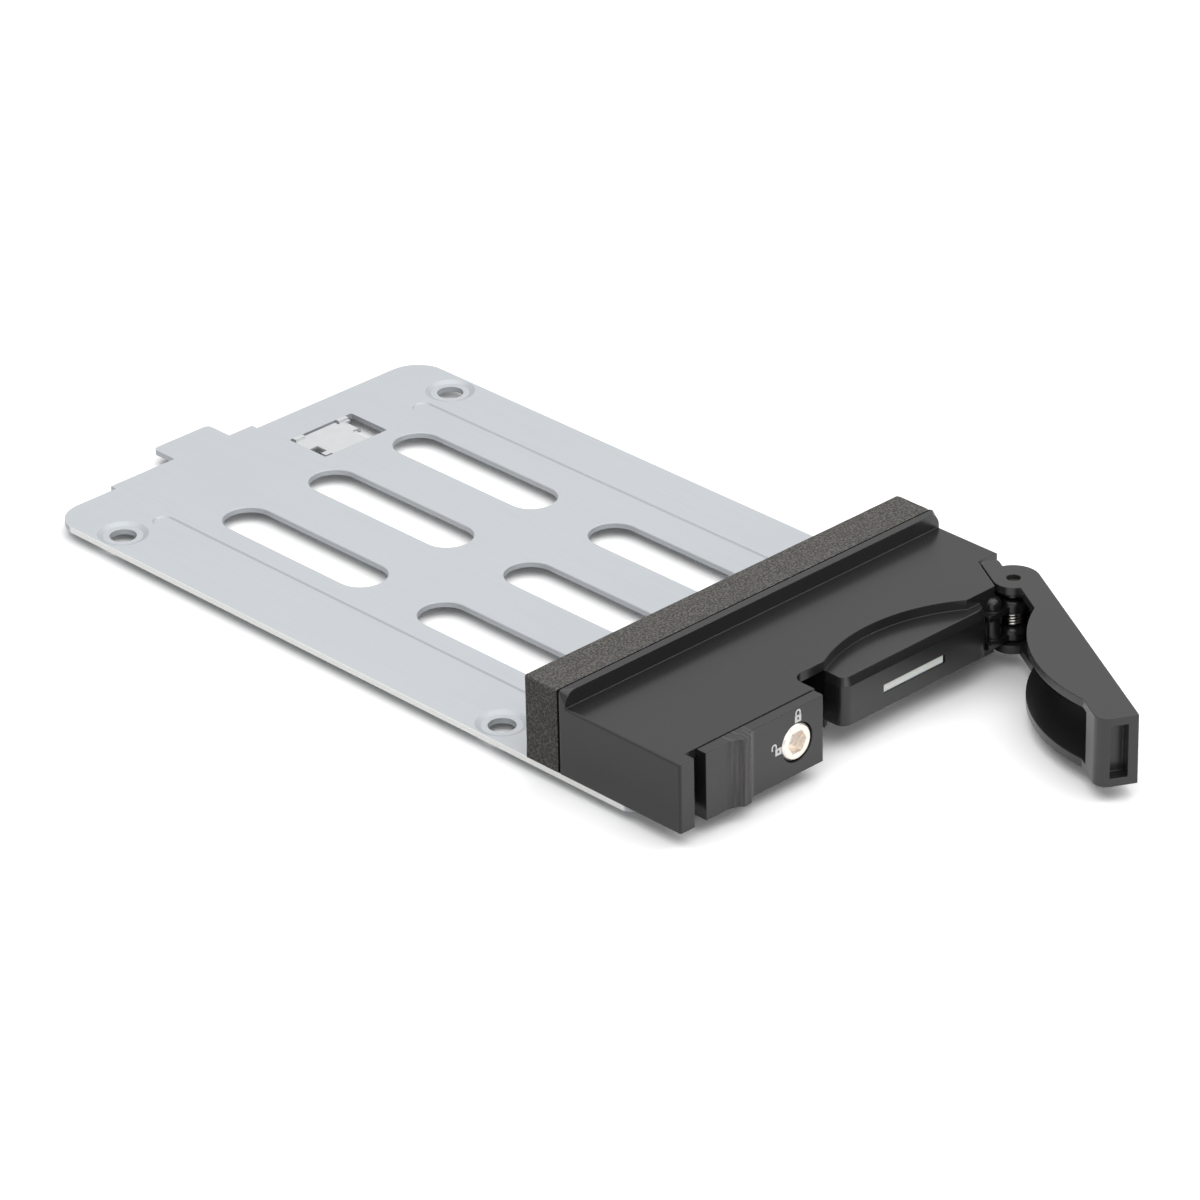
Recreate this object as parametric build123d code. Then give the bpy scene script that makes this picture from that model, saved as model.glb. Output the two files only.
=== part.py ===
from build123d import *
import os
from math import cos, radians, sin, sqrt

os.makedirs("parts", exist_ok=True)

# Hot swap caddy for a 2.5 inch drive. Millimetres, +X to the right seen from the
# front, +Y to the rear, +Z up. The origin is the centre of the four drive holes, on
# the underside of their dimples, which is the plane that the caddy rests on.

# Drive holes: the bottom holes of a 2.5 inch drive
drive_hole_spacing_x = 61.72
drive_hole_spacing_y = 76.6
drive_hole_diameter = 3.8
dimple_mouth_diameter = 7.2
dimple_floor_diameter = 5.6
dimple_depth = 0.35

# Tray plate: one stamped sheet
plate_thickness = 0.8
tray_width = 69.6
plate_rear_margin = 11.1
plate_front_setback = 8.8
plate_rear_corner_radius = 5.0
plate_front_corner_radius = 2.0
rear_step_depth = 1.1
rear_step_left = -22.8
rear_step_right = 3.5
rear_tab_length = 4.65
rear_tab_width = 10.3
rear_tab_centre_x = -5.95
rear_tab_corner_radius = 0.8
slot_width = 7.15
slot_length = 30.7
slot_pitch_x = 16.0
slot_pitch_y = 40.0
slot_centre_y = -2.8
slot_rim_radius = 0.1
bead_width = 3.1
bead_depth = 0.22
bead_centre_x = 24.5
bead_rear_overrun = 0.4
window_width = 11.8
window_depth = 7.7
window_centre_x = 10.1
window_rear_inset = 6.2
window_corner_radius = 0.3

# Contact clip in the window: bent spring strip
clip_thickness = 0.3
clip_gap = 0.12
clip_panel_inset_left = 1.5
clip_finger_width = 3.0
clip_finger_rear = 0.7
clip_finger_reach = 0.9
clip_finger_radius = 0.8
clip_panel_inset_right = 3.5
clip_rear_gap = 0.45
clip_lug_width = 1.75
clip_lug_inset = 0.3
clip_notch = 0.35
clip_lug_rise = 0.3
clip_lug_depth = 0.7
clip_lug_lean = 0.2
clip_lug_overlap = 0.2
clip_tab_width = 1.4
clip_tab_slit = 0.4
clip_tab_inset = 0.45

# Gasket and front housing
gasket_rear_inset = 8.8
gasket_depth = 5.9
gasket_height = 12.2
gasket_corner_radius = 0.4
tape_thickness = 0.5
tape_inset = 0.1
flange_thickness = 1.1
flange_height = 12.3
flange_corner_radius = 2.0
housing_depth = 20.8
housing_height = 10.0
housing_top_wall = 1.4
housing_side_wall = 1.6
housing_edge_radius = 0.35
left_end_wall = 2.5

# Screws that hold the housing on the plate
screw_count = 4
screw_pitch = 18.4
screw_inset_y = 4.1
screw_shank_diameter = 2.5
screw_head_diameter = 4.4
screw_length = 6.0
screw_recess_across_flats = 1.5
screw_recess_depth = 0.6
screw_fit = 0.03
screw_boss_diameter = 5.6

# Handle: pivots on a vertical pin, drawn closed and then swung open
pivot_inset = 3.8
pivot_to_outer_face = 3.6
handle_front_inset = 0.15
handle_length = 39.6
handle_arm_depth = 3.6
handle_leaf = 1.2
handle_web = 1.35
handle_open_angle = 60.9
bulge_centre_s = 22.8
bulge_radius = 24.1
bulge_depth = 8.1
end_block_depth = 5.5
end_block_length = 4.5
end_corner_radius = 1.8
end_window_width = 2.45
end_window_margin = 1.15
end_window_depth = 1.9
boss_inner_radius = 2.85
boss_wall = 1.35
claw_reach = 5.5
claw_outer_offset = 0.35
claw_width = 2.5
claw_tip_radius = 0.5
handle_clearance = 0.25
pin_hub_radius = 1.5
pin_hub_length = 1.1

# Hinge pin and its spring
pin_diameter = 1.84
pin_fit = 0.06
pin_recess = 0.5
knuckle_radius = 2.0
knuckle_upper_height = 1.8
knuckle_lower_height = 1.8
knuckle_shoulder_radius = 0.9
knuckle_arm_depth = 1.9
knuckle_gap = 0.3
hinge_post_radius = 1.3
hinge_post_height = 6.9
hinge_post_inset = 0.2
hinge_wall_setback = 1.5
hinge_spring_wire = 0.28
hinge_spring_gap = 0.14
hinge_spring_mean_radius = 1.28
hinge_spring_turns = 5

# Indicator block and its light pipe
block_leaf_gap = 0.3
block_from_tip = 5.6
block_from_pivot = 5.7
block_front_inset = 2.2
block_left_radius = 1.5
block_right_radius = 2.4
block_edge_depth = 0.45
block_edge_height = 1.25
block_wall = 1.3
light_from_left = 13.25
light_width = 11.3
light_height = 1.1
light_centre_height = 4.35
light_recess = 0.15
light_end_gap = 0.3
light_fit = 0.05
light_shoulder = 0.8
light_shoulder_depth = 1.2
light_stem_width = 4.0
light_stem_gap = 0.3

# Release slider
slider_travel = 2.0
slider_end_gap = 0.1
slider_right_gap = 0.25
slider_top_drop = 0.12
slider_floor_gap = 0.1
slider_lip = 1.65
slider_seam = 0.1
slider_rear_gap = 1.35
slider_side_gap = 0.15
ridge_height = 1.0
ridge_foot_left = 3.6
ridge_peak_left = 5.9
ridge_peak_right = 7.1
ridge_foot_right = 8.7
guide_width = 1.0
guide_height = 0.8
guide_inset = 5.0
guide_gap = 0.12
hook_reach = 1.35
hook_height = 5.0
hook_root = 0.5
hook_nose = 0.6
hook_fit = 0.3
hook_room_wall = 0.8
hook_room_overlap = 0.4

# Spring behind the slider
return_spring_radius = 1.6
return_spring_wire = 0.4
return_spring_turns = 8
return_spring_length = 12.0
return_spring_room = 0.3
return_spring_height = 4.4
return_spring_inset = 2.9

# Lock in the slider
lock_from_right = 4.7
lock_height = 4.8
lock_head_diameter = 5.2
lock_head_depth = 2.4
lock_head_gap = 0.2
lock_head_chamfer = 0.25
lock_shank_diameter = 3.0
lock_shank_fit = 0.06
lock_socket_across_flats = 3.0
lock_socket_depth = 1.3
lock_wall = 3.9
lock_washer_thickness = 0.3
lock_washer_diameter = 4.6
lock_cam_thickness = 1.0
lock_cam_hub_radius = 2.3
lock_cam_reach = 3.4
lock_cam_width = 2.0
lock_clip_thickness = 0.4
lock_clip_radius = 2.1
lock_groove_depth = 0.3
lock_flat_inset = 0.35
lock_tail = 0.5
lock_pocket_margin = 0.5
lock_stop_width = 1.0

# Places worked out from the sizes above
plate_top = dimple_depth + plate_thickness
half_width = tray_width / 2
plate_rear = drive_hole_spacing_y / 2 + plate_rear_margin
gasket_rear = -drive_hole_spacing_y / 2 - gasket_rear_inset
gasket_front = gasket_rear - gasket_depth
flange_rear = gasket_front - tape_thickness
flange_front = flange_rear - flange_thickness
housing_front = flange_front - housing_depth
plate_front = housing_front + plate_front_setback
screw_y = flange_front - screw_inset_y
housing_top = plate_top + housing_height
ceiling = housing_top - housing_top_wall
handle_face = housing_front + handle_front_inset
pivot_x = half_width - pivot_inset
pivot_y = handle_face + pivot_to_outer_face
bulge_centre_w = bulge_depth - bulge_radius
block_left = pivot_x - handle_length + block_from_tip
block_right = pivot_x - block_from_pivot
block_bottom = plate_top + handle_leaf + block_leaf_gap
block_top = housing_top - handle_leaf - block_leaf_gap
block_front = housing_front + block_front_inset
arm_rear = handle_face + end_block_depth
tip_x = pivot_x - handle_length
light_centre_x = block_left + light_from_left
light_stem_rear = screw_y - screw_boss_diameter / 2 - light_stem_gap
slider_left = -half_width + left_end_wall + slider_travel + slider_end_gap
slider_right = tip_x - handle_clearance - slider_right_gap
slider_bottom = plate_top + slider_floor_gap
slider_top = housing_top - slider_top_drop
slider_deck = ceiling - slider_side_gap
slider_rear = screw_y - screw_boss_diameter / 2 - slider_side_gap - slider_rear_gap
lip_rear = housing_front + slider_lip
cover_front = lip_rear + slider_seam
lock_x = slider_right - lock_from_right
lock_z = plate_top + lock_height
lock_wall_rear = housing_front + lock_wall
cam_front = lock_wall_rear + lock_washer_thickness
cam_rear = cam_front + lock_cam_thickness
clip_rear = cam_rear + lock_clip_thickness
claw_inner_offset = claw_outer_offset + claw_width
pocket_rear = pivot_y + sqrt(claw_reach**2 + claw_inner_offset**2) + handle_clearance
big = 3 * tray_width
cut_over = 1.0


def block(x, y, z):
    size = Box(x[1] - x[0], y[1] - y[0], z[1] - z[0])
    return Pos((x[0] + x[1]) / 2, (y[0] + y[1]) / 2, (z[0] + z[1]) / 2) * size


def upright(x, y, radius, z):
    return Pos(x, y, (z[0] + z[1]) / 2) * Cylinder(radius, z[1] - z[0])


def lying(x, z, radius, y):
    """A cylinder along Y."""
    return Pos(x, (y[0] + y[1]) / 2, z) * Rot(90, 0, 0) * Cylinder(radius, y[1] - y[0])


def prism(outline, z):
    return Pos(0, 0, z[0]) * extrude(outline, z[1] - z[0])


def drive_hole_places():
    return GridLocations(drive_hole_spacing_x, drive_hole_spacing_y, 2, 2)


def screw_places():
    return [Pos((i - (screw_count - 1) / 2) * screw_pitch, screw_y, 0) for i in range(screw_count)]


# Tray plate

def plate_outline():
    sheet = Pos(0, (plate_rear + plate_front) / 2) * Rectangle(tray_width, plate_rear - plate_front)
    sheet = fillet(sheet.vertices().group_by(Axis.Y)[-1], plate_rear_corner_radius)
    sheet = fillet(sheet.vertices().group_by(Axis.Y)[0], plate_front_corner_radius)
    step_width = rear_step_right - rear_step_left
    step_x = (rear_step_right + rear_step_left) / 2
    step_y = plate_rear + rear_step_depth
    sheet += Pos(step_x, step_y / 2) * Rectangle(step_width, step_y)
    tab = Rectangle(rear_tab_width, 2 * rear_tab_length)
    tab = fillet(tab.vertices().group_by(Axis.Y)[-1], rear_tab_corner_radius)
    sheet += Pos(rear_tab_centre_x, step_y) * tab
    return sheet


def bead(width, y_front, y_rear, z):
    """A straight round-ended rib with sloping sides, from z[0] out to z[1]."""
    length = y_rear - y_front
    foot = SlotCenterToCenter(length - width, width, rotation=90)
    return Pos(0, (y_front + y_rear) / 2, z[0]) * extrude(foot, z[1] - z[0], taper=45)


def dimple(mouth, floor, z):
    return Pos(0, 0, (z[0] + z[1]) / 2) * Cone(floor / 2, mouth / 2, z[1] - z[0])


def tray_plate():
    plate = prism(plate_outline(), (dimple_depth, plate_top))
    bead_rear = drive_hole_spacing_y / 2 + bead_rear_overrun
    bead_front = gasket_front + bead_width
    for side in (-1, 1):
        place = Pos(side * bead_centre_x, 0, 0)
        under = bead(bead_width, bead_front, bead_rear, (0, bead_depth))
        plate += place * Pos(0, 0, dimple_depth) * mirror(under, Plane.XY)
    for place in drive_hole_places():
        wide = dimple_mouth_diameter + plate_thickness
        plate += place * dimple(wide, dimple_floor_diameter + plate_thickness, (0, dimple_depth))
    plate &= prism(plate_outline(), (0, plate_top))
    for side in (-1, 1):
        place = Pos(side * bead_centre_x, 0, plate_top)
        plate -= place * mirror(bead(bead_width, bead_front, bead_rear, (0, bead_depth)), Plane.XY)
    for place in drive_hole_places():
        plate -= place * dimple(dimple_mouth_diameter, dimple_floor_diameter, (plate_thickness, plate_top))
        plate -= place * upright(0, 0, drive_hole_diameter / 2, (0, plate_top))
    for place in GridLocations(slot_pitch_x, slot_pitch_y, 3, 2):
        slot = SlotOverall(slot_length, slot_width, rotation=90)
        rim = SlotOverall(slot_length + 2 * slot_rim_radius, slot_width + 2 * slot_rim_radius, rotation=90)
        centre = Pos(0, slot_centre_y, 0) * place
        plate -= centre * prism(slot, (0, plate_top))
        plate -= centre * Pos(0, 0, plate_top) * mirror(extrude(rim, slot_rim_radius, taper=45), Plane.XY)
    window = RectangleRounded(window_width, window_depth, window_corner_radius)
    window_y = plate_rear - window_rear_inset - window_depth / 2
    plate -= Pos(window_centre_x, window_y, 0) * prism(window, (0, plate_top))
    for place in screw_places():
        plate -= place * screw_solid(screw_fit, plate_thickness)
    plate -= hinge_pocket((0, plate_top))
    return plate


def ground_clip():
    left = window_centre_x - window_width / 2 + clip_gap
    rear = plate_rear - window_rear_inset
    front = rear - window_depth + clip_gap
    panel_left = left + clip_panel_inset_left
    panel_rear = rear - clip_rear_gap
    panel_right = window_centre_x + window_width / 2 - clip_panel_inset_right
    top = plate_top - clip_gap
    deck = (top - clip_thickness, top)
    clip = block((panel_left, panel_right), (front, panel_rear), deck)
    wing = (panel_rear - clip_finger_width - clip_finger_rear, panel_rear - clip_finger_rear)
    clip += block((left, panel_left), wing, deck)
    bend_x = panel_right + clip_finger_reach
    clip += block((panel_right, bend_x), wing, deck)
    roll = Cylinder(clip_finger_radius, clip_finger_width) - Cylinder(
        clip_finger_radius - clip_thickness, clip_finger_width
    )
    roll -= block((-big, 0), (-big, big), (-big, big))
    curl = Pos(bend_x, (wing[0] + wing[1]) / 2, top - clip_finger_radius) * Rot(90, 0, 0) * roll
    keep = block((bend_x, bend_x + clip_finger_radius), wing, (top - clip_finger_radius, top))
    clip += curl & keep
    for lug_x in (left + clip_lug_inset, panel_right + clip_notch):
        lug = (lug_x, lug_x + clip_lug_width)
        clip += block(lug, (wing[1] - clip_lug_overlap, panel_rear), deck)
        rise_y = (panel_rear + clip_lug_lean - clip_lug_depth, panel_rear + clip_lug_lean)
        clip += block(lug, rise_y, (deck[0], top + clip_lug_rise))
    tab_y = (front + clip_tab_slit, front + clip_tab_width)
    clip += block((left + clip_tab_inset, panel_left), tab_y, deck)
    return clip


# Housing screws

def screw_solid(grow, reach):
    """A countersunk screw with its head flush with the plate's underside."""
    head = screw_head_diameter / 2 + grow
    shank = screw_shank_diameter / 2 + grow
    cone = head - shank
    solid = Pos(0, 0, dimple_depth + cone / 2) * Cone(head, shank, cone)
    solid += upright(0, 0, shank, (dimple_depth, dimple_depth + max(reach, cone)))
    return solid


def housing_screws():
    recess = RegularPolygon(screw_recess_across_flats / 2, 6, major_radius=False)
    screw = screw_solid(0, screw_length)
    screw -= prism(recess, (dimple_depth, dimple_depth + screw_recess_depth))
    return Compound(children=[place * screw for place in screw_places()])


# Handle, in arm coordinates: s runs from the pivot along the arm and w in from its outer face

def arm_block(s, w, z):
    return block((pivot_x - s[1], pivot_x - s[0]), (handle_face + w[0], handle_face + w[1]), z)


def swing(solid, angle):
    return Pos(pivot_x, pivot_y, 0) * Rot(0, 0, angle) * Pos(-pivot_x, -pivot_y, 0) * solid


def arm_plan(z, grow=0.0):
    """The plan of the arm without its boss and claw, pulled up between two heights."""
    round_part = upright(pivot_x - bulge_centre_s, handle_face + bulge_centre_w, bulge_radius + grow, z)
    round_part &= arm_block((0, handle_length + grow), (-grow, big), z)
    plan = round_part + arm_block((0, handle_length / 2), (-grow, handle_arm_depth + grow), z)
    end_s = (handle_length - 2 * end_block_length, handle_length + grow)
    end = arm_block(end_s, (-grow, end_block_depth + grow), z)
    corner = end.edges().filter_by(Axis.Z).sort_by(Axis.Y)[-2:].sort_by(Axis.X)[0]
    return plan + fillet(corner, end_corner_radius)


def boss_plan(z, grow=0.0):
    inner = upright(pivot_x, pivot_y, boss_inner_radius + grow, z)
    outer = upright(pivot_x, pivot_y, pivot_to_outer_face + grow, z)
    outer &= arm_block((-big, 0), (-big, pivot_to_outer_face + claw_outer_offset), z)
    return inner + outer


def claw(z, start):
    w = (pivot_to_outer_face + claw_outer_offset, pivot_to_outer_face + claw_inner_offset)
    finger = arm_block((-claw_reach, -start), w, z)
    tip = finger.edges().filter_by(Axis.Z).sort_by(Axis.X)[-2:]
    return fillet(tip, claw_tip_radius)


def ejector_handle():
    low = (plate_top, plate_top + handle_leaf)
    high = (housing_top - handle_leaf, housing_top)
    full = (plate_top, housing_top)
    handle = arm_plan(full) + boss_plan(full) + claw(full, 0)
    between = (low[1], high[0])
    cut_s = handle_length - end_block_length
    handle -= arm_block((0, cut_s), (handle_web, big), between)
    room = upright(pivot_x, pivot_y, pivot_to_outer_face - boss_wall, between)
    handle -= room
    inside_s = (-pivot_to_outer_face + boss_wall, cut_s)
    handle -= arm_block(inside_s, (pivot_to_outer_face, bulge_depth + cut_over), between)
    window = arm_block(
        (handle_length - end_window_depth, handle_length + cut_over),
        (handle_web, handle_web + end_window_width),
        (plate_top + end_window_margin, housing_top - end_window_margin),
    )
    handle -= window
    handle += upright(pivot_x, pivot_y, pin_hub_radius, (high[0] - pin_hub_length, high[0]))
    handle -= upright(pivot_x, pivot_y, pin_diameter / 2 + pin_fit, full)
    return swing(handle, handle_open_angle)


def hinge_pin():
    return upright(pivot_x, pivot_y, pin_diameter / 2, (plate_top + pin_recess, housing_top - pin_recess))


def knuckle_heights():
    lower_bottom = plate_top + handle_leaf + knuckle_gap
    lower = (lower_bottom, lower_bottom + knuckle_lower_height)
    spring_height = hinge_spring_wire + (hinge_spring_wire + hinge_spring_gap) * hinge_spring_turns
    upper_bottom = lower[1] + spring_height
    return lower, (upper_bottom, upper_bottom + knuckle_upper_height)


def handle_spring():
    lower, upper = knuckle_heights()
    room = upper[0] - lower[1] - hinge_spring_wire
    pitch = room / hinge_spring_turns
    path = Helix(pitch, room, hinge_spring_mean_radius)
    section = Plane(path @ 0, z_dir=path % 0) * Circle(hinge_spring_wire / 2)
    coil = sweep(section, path=path)
    coil = Pos(pivot_x, pivot_y, lower[1] + hinge_spring_wire / 2) * Rot(0, 0, 270) * coil
    return coil


# Front housing

def hinge_pocket(z):
    """Room for the handle's boss and claw at the right front corner."""
    edge = pivot_to_outer_face + claw_inner_offset + handle_clearance
    half_plane = swing(arm_block((-big, big), (-big, edge), z), handle_open_angle)
    return half_plane & block((block_right, big), (-big, pocket_rear), z)


def indicator_block():
    rear = handle_face + bulge_depth + handle_clearance + housing_side_wall
    solid = block((block_left, block_right), (block_front, rear), (block_bottom, block_top))
    solid = fillet(solid.edges().filter_by(Axis.Z).group_by(Axis.Y)[0].sort_by(Axis.X)[0], block_left_radius)
    right_corner = solid.edges().filter_by(Axis.Z).sort_by(Axis.X)[-2:].sort_by(Axis.Y)[0]
    solid = fillet(right_corner, block_right_radius)
    top = solid.faces().sort_by(Axis.Z)[-1]
    rim = top.edges().sort_by(Axis.Y)[:-1]
    return chamfer(rim, block_edge_depth, block_edge_height, reference=top)


def light_slot(grow, y, end_gap=0.0):
    z = plate_top + light_centre_height
    half = light_width / 2 + grow
    x = (light_centre_x - half, light_centre_x + half + end_gap)
    return block(x, y, (z - light_height / 2 - grow, z + light_height / 2 + grow))


def slider_pocket():
    left = -half_width + left_end_wall
    right = slider_right + slider_right_gap
    rear = slider_rear + slider_side_gap
    front = housing_front - cut_over
    pocket = block((left, right), (front, rear), (plate_top, ceiling))
    pocket += block((left, right), (front, cover_front), (plate_top, housing_top))
    return pocket


def hook_room(rear):
    """Opening under the cover's edge, where the hook stands when the handle is open."""
    left = slider_right + slider_right_gap + hook_room_wall
    right = block_left + hook_room_overlap
    return block((left, right), (arm_rear, rear), (plate_top, ceiling))


def guide_places(grow):
    y = slider_rear - guide_inset
    return (y - guide_width / 2 - grow, y + guide_width / 2 + grow)


def front_housing():
    full = (plate_top, housing_top)
    body = block((-half_width, half_width), (housing_front, flange_front), full)
    long_edges = body.edges().filter_by(Axis.Y).group_by(Axis.Z)[-1]
    front_upright = body.edges().filter_by(Axis.Z).group_by(Axis.Y)[0]
    body = fillet(long_edges + front_upright, housing_edge_radius)
    body -= arm_plan(full, handle_clearance)
    body -= boss_plan(full, handle_clearance)
    body -= slider_pocket()
    body += indicator_block()
    rear_room_front = slider_rear + slider_side_gap + housing_side_wall
    inner = half_width - housing_side_wall
    inner_rear = flange_front - housing_side_wall
    body -= block((-inner, inner), (rear_room_front, inner_rear), (plate_top, ceiling))
    bulge_back = handle_face + bulge_depth + handle_clearance
    right_left = slider_right + slider_right_gap + housing_side_wall
    body -= hook_room(bulge_back + housing_side_wall)
    rear_room = (bulge_back + housing_side_wall, rear_room_front)
    body -= block((right_left, block_right), rear_room, (plate_top, ceiling))
    body -= block(
        (block_left + block_wall, block_right - block_wall),
        (block_front + block_wall, bulge_back + housing_side_wall),
        (plate_top, block_top - block_wall),
    )
    body -= hinge_pocket(full)
    body += hinge_bracket()
    body -= upright(pivot_x, pivot_y, pin_diameter / 2 + pin_fit, full)
    body += guide_rib()
    body += lock_stop()
    for place in screw_places():
        body += place * upright(0, 0, screw_boss_diameter / 2, full_height_of_boss())
        body -= place * screw_solid(screw_fit, screw_length + screw_fit)
    slot_y = (block_front - cut_over, block_front + block_wall + cut_over)
    body -= light_slot(light_fit, slot_y, light_end_gap)
    body += light_rest()
    body += flange()
    return body


def full_height_of_boss():
    return (plate_top, ceiling + housing_top_wall / 2)


def flange_outline(y, corner_radius):
    upright_plane = Plane(origin=(0, y, plate_top + flange_height / 2), x_dir=(1, 0, 0), z_dir=(0, -1, 0))
    outline = upright_plane * Rectangle(2 * half_width, flange_height)
    return fillet(outline.vertices().group_by(Axis.Z)[-1], corner_radius)


def flange():
    """Its corners are well rounded in front and as sharp as the gasket's behind."""
    front = flange_outline(flange_front, flange_corner_radius)
    rear = flange_outline(flange_rear, gasket_corner_radius)
    return loft([front, rear])


def hinge_knuckle(z):
    solid = upright(pivot_x, pivot_y, knuckle_radius, z)
    rim = solid.edges().filter_by(GeomType.CIRCLE).sort_by(Axis.Z)[-1]
    solid = fillet(rim, knuckle_shoulder_radius)
    arm_y = (pivot_y - knuckle_arm_depth / 2, pivot_y + knuckle_arm_depth / 2)
    return solid + block((block_right, pivot_x), arm_y, (z[0], z[1] - knuckle_shoulder_radius))


def hinge_bracket():
    lower, upper = knuckle_heights()
    right = pivot_x - knuckle_radius - knuckle_gap
    y = (pivot_y - knuckle_arm_depth / 2, pivot_y + knuckle_arm_depth)
    wall_y = (y[0] + hinge_wall_setback, y[1])
    wall = block((block_right - block_wall, right), wall_y, (lower[0], upper[1] - knuckle_shoulder_radius))
    post_x = right - hinge_post_radius
    post_y = y[0] + hinge_post_radius + hinge_post_inset
    post = upright(post_x, post_y, hinge_post_radius, (lower[0], lower[0] + hinge_post_height))
    top = post.edges().filter_by(GeomType.CIRCLE).sort_by(Axis.Z)[-1]
    return wall + fillet(top, knuckle_shoulder_radius) + hinge_knuckle(lower) + hinge_knuckle(upper)


def guide_rib():
    left = -half_width + left_end_wall
    right = slider_right + slider_right_gap
    return block((left, right), guide_places(0), (ceiling - guide_height, ceiling))


def lock_stop():
    """A rib beside the lock's cam; it stands one travel clear of the cam."""
    right = lock_x - lock_cam_width / 2 - slider_travel - slider_side_gap
    z = (lock_z + lock_cam_hub_radius, ceiling)
    return block((right - lock_stop_width, right), (cam_front, cam_rear), z)


def light_rest():
    """A short rib from the cover that the light pipe's stem lies against."""
    z = plate_top + light_centre_height + light_height / 2
    y = light_stem_rear
    x = (light_centre_x - light_stem_width / 2, light_centre_x + light_stem_width / 2)
    return block(x, (y - housing_side_wall, y), (z, ceiling))


# Gasket and light pipe

def gasket_tape():
    width = half_width - tape_inset
    z = (plate_top + tape_inset, plate_top + gasket_height - tape_inset)
    return block((-width, width), (flange_rear, gasket_front), z)


def foam_gasket():
    z = (plate_top, plate_top + gasket_height)
    solid = block((-half_width, half_width), (gasket_front, gasket_rear), z)
    corners = solid.edges().filter_by(Axis.Y).group_by(Axis.Z)[-1]
    return fillet(corners, gasket_corner_radius)


def light_pipe():
    wall_rear = block_front + block_wall
    face = light_slot(0, (block_front + light_recess, wall_rear))
    shoulder = light_slot(light_shoulder, (wall_rear, wall_rear + light_shoulder_depth))
    z = plate_top + light_centre_height
    stem = block(
        (light_centre_x - light_stem_width / 2, light_centre_x + light_stem_width / 2),
        (wall_rear, light_stem_rear),
        (z - light_height / 2, z + light_height / 2),
    )
    return face + shoulder + stem


# Release slider, its spring and its lock

def ridge_solid():
    x = slider_left
    y = housing_front
    run_in = ridge_peak_left - ridge_foot_left
    radius_in = (run_in**2 + ridge_height**2) / (2 * ridge_height)
    run_out = ridge_foot_right - ridge_peak_right
    radius_out = (run_out**2 + ridge_height**2) / (2 * ridge_height)
    z = (slider_bottom, slider_top)
    solid = block((x + ridge_foot_left, x + ridge_foot_right), (y - ridge_height, y), z)
    solid -= upright(x + ridge_foot_left, y - radius_in, radius_in, z)
    solid -= upright(x + ridge_foot_right, y - radius_out, radius_out, z)
    return solid


def release_slider():
    deck = block((slider_left, slider_right), (housing_front, slider_rear), (slider_bottom, slider_deck))
    lip = block((slider_left, slider_right), (housing_front, lip_rear), (slider_bottom, slider_top))
    solid = deck + lip + ridge_solid()
    groove_x = (slider_left - cut_over, slider_right + cut_over)
    solid -= block(groove_x, guide_places(guide_gap), (ceiling - guide_height - guide_gap, ceiling))
    hook_y = (handle_face + handle_web + hook_fit, handle_face + handle_web + end_window_width - hook_fit)
    hook_mid = plate_top + housing_height / 2
    hook_z = (hook_mid - hook_height / 2, hook_mid + hook_height / 2)
    hook = block((slider_right - hook_root, slider_right + hook_reach), hook_y, hook_z)
    nose = hook.edges().filter_by(Axis.Z).sort_by(Axis.X)[-2:].sort_by(Axis.Y)[0]
    solid += chamfer(nose, hook_nose)
    head_y = (housing_front - cut_over, housing_front + lock_head_depth)
    solid -= lying(lock_x, lock_z, lock_head_diameter / 2 + lock_head_gap, head_y)
    solid -= lying(lock_x, lock_z, lock_shank_diameter / 2 + lock_shank_fit, (housing_front, lock_wall_rear))
    swing_room = lock_cam_reach + lock_pocket_margin
    stop_left = lock_x - lock_cam_width / 2 - slider_travel - slider_side_gap - lock_stop_width
    pocket_left = min(lock_x - swing_room, stop_left - slider_side_gap)
    pocket_rear_y = clip_rear + lock_tail + lock_pocket_margin
    pocket_y = (lock_wall_rear, pocket_rear_y)
    solid -= block((pocket_left, lock_x + swing_room), pocket_y, (slider_bottom, slider_deck))
    return solid - spring_bore()


def spring_axis():
    return slider_rear - return_spring_inset, plate_top + return_spring_height


def spring_bore():
    y, z = spring_axis()
    depth = return_spring_length - slider_travel - slider_end_gap
    radius = return_spring_radius + return_spring_wire / 2 + return_spring_room
    return Pos(slider_left + depth / 2, y, z) * Rot(0, 90, 0) * Cylinder(radius, depth)


def slider_spring():
    y, z = spring_axis()
    length = return_spring_length - return_spring_wire
    path = Helix(length / return_spring_turns, length, return_spring_radius)
    section = Plane(path @ 0, z_dir=path % 0) * Circle(return_spring_wire / 2)
    coil = sweep(section, path=path)
    start = -half_width + left_end_wall + return_spring_wire / 2
    return Pos(start, y, z) * Rot(0, 90, 0) * coil


def lock_screw():
    head_radius = lock_head_diameter / 2
    head = lying(lock_x, lock_z, head_radius, (housing_front, housing_front + lock_head_depth))
    front = head.edges().filter_by(GeomType.CIRCLE).sort_by(Axis.Y)[0]
    head = chamfer(front, lock_head_chamfer)
    shank = lying(lock_x, lock_z, lock_shank_diameter / 2, (housing_front, clip_rear + lock_tail))
    flat_z = lock_z + lock_shank_diameter / 2 - lock_flat_inset
    shank -= block((-big, big), (cam_front, clip_rear + lock_tail), (flat_z, big))
    ring = lying(lock_x, lock_z, lock_shank_diameter, (cam_rear, clip_rear))
    ring -= lying(lock_x, lock_z, lock_shank_diameter / 2 - lock_groove_depth, (cam_rear, clip_rear))
    socket = RegularPolygon(lock_socket_across_flats / 2, 6, major_radius=False)
    place = Pos(lock_x, housing_front + lock_socket_depth, lock_z) * Rot(90, 0, 0)
    socket = place * extrude(socket, lock_socket_depth + cut_over)
    return head + (shank - ring) - socket


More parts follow.
